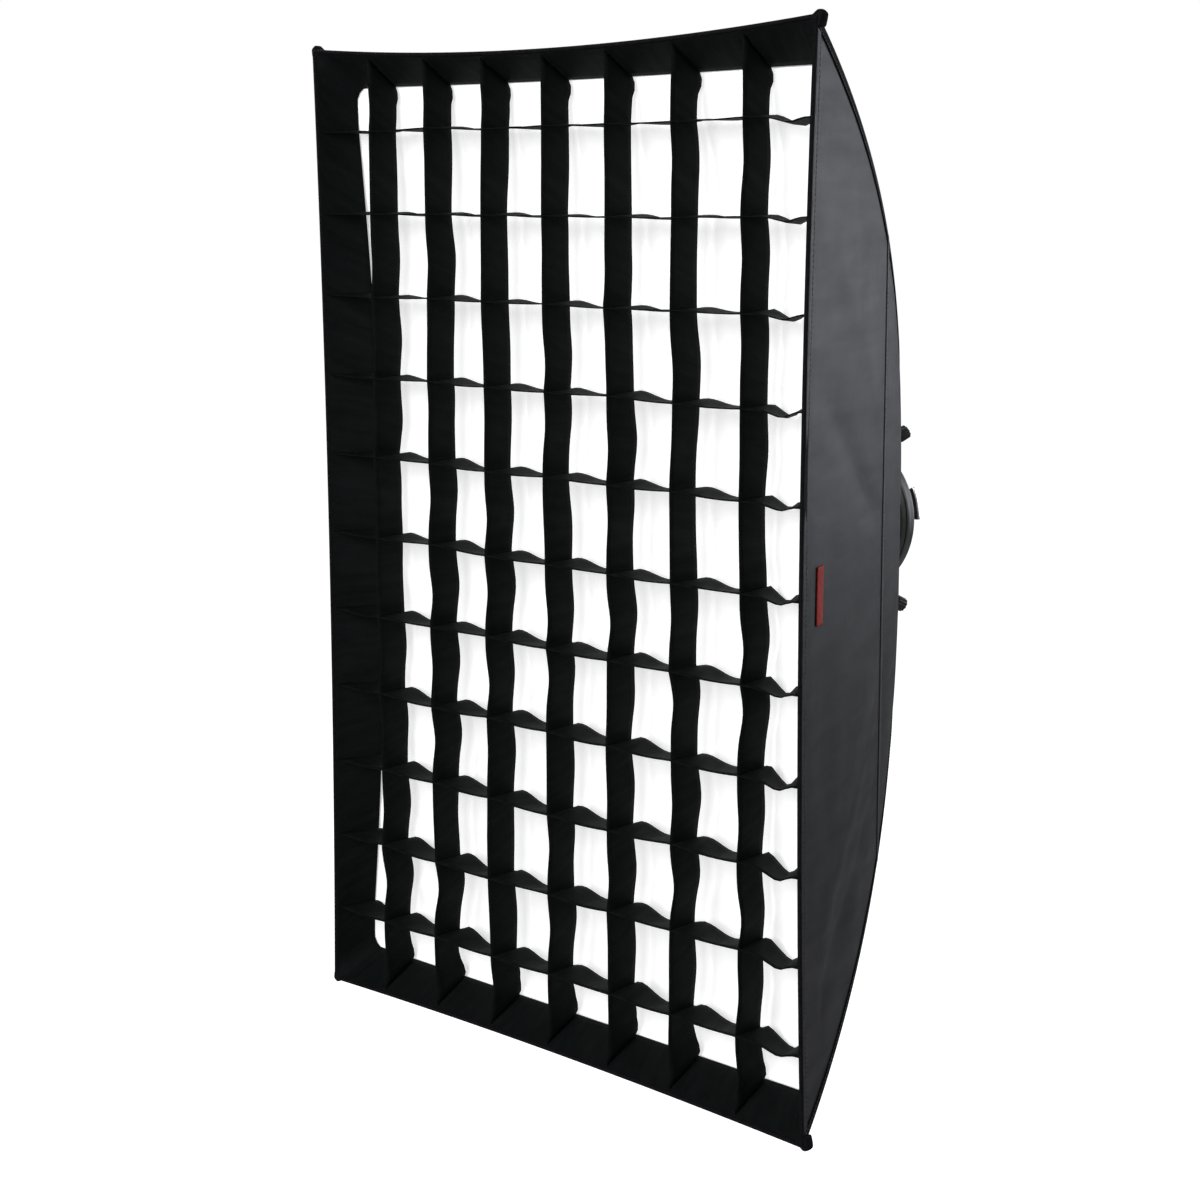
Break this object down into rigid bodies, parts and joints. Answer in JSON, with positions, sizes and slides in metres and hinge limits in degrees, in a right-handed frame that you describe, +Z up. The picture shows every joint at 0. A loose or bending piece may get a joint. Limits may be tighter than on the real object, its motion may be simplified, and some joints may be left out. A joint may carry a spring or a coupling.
{
  "type": "softbox",
  "caption": "Rectangular photographic softbox: black cloth box on spring rods and a bayonet speed ring, with a white front diffuser behind a square-cell fabric grid.",
  "frame": {"origin": "centre of the bayonet plate's rear seat face, where the light holds it", "axes": "+Z up along the long side, +Y out of the rear towards the light, the white front faces -Y, +X right as seen from the front"},
  "size_m": [0.6126, 0.4502, 0.9138],
  "materials": {
    "black_cloth": "coated black nylon, fine weave, silver lining inside",
    "grid_cloth": "matt black nylon webbing",
    "white_cloth": "translucent white nylon",
    "webbing": "woven black tape",
    "red_cloth": "plain red woven tag",
    "cast_metal": "black powder coat on cast metal",
    "plate_metal": "satin turned metal",
    "rod_metal": "drawn spring steel",
    "knob_plastic": "moulded black plastic"
  },
  "bodies": {
    "mount_plate": {"bayonet_plate": "plate_metal", "retaining_ring": "plate_metal"},
    "box": {"speedring_body": "cast_metal", "rod_top_left": "rod_metal", "rod_top_right": "rod_metal", "rod_bottom_left": "rod_metal", "rod_bottom_right": "rod_metal", "front_panel_top": "black_cloth", "front_panel_bottom": "black_cloth", "front_panel_left": "black_cloth", "front_panel_right": "black_cloth", "rear_panel_top": "black_cloth", "rear_panel_bottom": "black_cloth", "rear_panel_left": "black_cloth", "rear_panel_right": "black_cloth", "rear_flap_top": "black_cloth", "rear_flap_bottom": "black_cloth", "front_lip_top": "black_cloth", "front_lip_bottom": "black_cloth", "front_lip_left": "black_cloth", "front_lip_right": "black_cloth", "corner_pocket_top_left": "webbing", "corner_pocket_top_right": "webbing", "corner_pocket_bottom_left": "webbing", "corner_pocket_bottom_right": "webbing", "inner_baffle": "white_cloth", "baffle_strap_top_left": "webbing", "baffle_strap_top_right": "webbing", "baffle_strap_bottom_left": "webbing", "baffle_strap_bottom_right": "webbing", "label": "red_cloth"},
    "diffuser": {"outer_diffuser": "white_cloth"},
    "grid": {"grid_band_top": "grid_cloth", "grid_band_bottom": "grid_cloth", "grid_band_left": "grid_cloth", "grid_band_right": "grid_cloth", "grid_upright_1": "grid_cloth", "grid_upright_2": "grid_cloth", "grid_upright_3": "grid_cloth", "grid_upright_4": "grid_cloth", "grid_upright_5": "grid_cloth", "grid_upright_6": "grid_cloth", "grid_upright_7": "grid_cloth", "grid_rail_01": "grid_cloth", "grid_rail_02": "grid_cloth", "grid_rail_03": "grid_cloth", "grid_rail_04": "grid_cloth", "grid_rail_05": "grid_cloth", "grid_rail_06": "grid_cloth", "grid_rail_07": "grid_cloth", "grid_rail_08": "grid_cloth", "grid_rail_09": "grid_cloth", "grid_rail_10": "grid_cloth", "grid_rail_11": "grid_cloth"},
    "rotation_lock": {"rotation_lock_knob": "knob_plastic"},
    "rod_lock_top_left": {"rod_lock_knob_top_left": "knob_plastic"},
    "rod_lock_top_right": {"rod_lock_knob_top_right": "knob_plastic"},
    "rod_lock_bottom_left": {"rod_lock_knob_bottom_left": "knob_plastic"},
    "rod_lock_bottom_right": {"rod_lock_knob_bottom_right": "knob_plastic"}
  },
  "joints": [
    {"name": "ring_turn", "type": "hinge", "parent": "mount_plate", "child": "box", "pos_m": [0, 0, 0], "axis": [0, 1, 0], "continuous": true},
    {"name": "rod_lock_top_left_turn", "type": "hinge", "parent": "box", "child": "rod_lock_top_left", "pos_m": [-0.05159, -0.02306, 0.07738], "axis": [-0.3028, 0.8378, 0.4543], "range_deg": [0, 720]},
    {"name": "rod_lock_top_right_turn", "type": "hinge", "parent": "box", "child": "rod_lock_top_right", "pos_m": [0.05159, -0.02306, 0.07738], "axis": [0.3028, 0.8378, 0.4543], "range_deg": [0, 720]},
    {"name": "rod_lock_bottom_left_turn", "type": "hinge", "parent": "box", "child": "rod_lock_bottom_left", "pos_m": [-0.05159, -0.02306, -0.07738], "axis": [-0.3028, 0.8378, -0.4543], "range_deg": [0, 720]},
    {"name": "rod_lock_bottom_right_turn", "type": "hinge", "parent": "box", "child": "rod_lock_bottom_right", "pos_m": [0.05159, -0.02306, -0.07738], "axis": [0.3028, 0.8378, -0.4543], "range_deg": [0, 720]},
    {"name": "rotation_lock_turn", "type": "hinge", "parent": "box", "child": "rotation_lock", "pos_m": [0, -0.022, -0.06], "axis": [0, 0, -1], "range_deg": [0, 720]},
    {"name": "diffuser_pull", "type": "slide", "parent": "box", "child": "diffuser", "axis": [0, -1, 0], "range_m": [0, 0.12]},
    {"name": "grid_pull", "type": "slide", "parent": "diffuser", "child": "grid", "axis": [0, -1, 0], "range_m": [0, 0.12]}
  ]
}
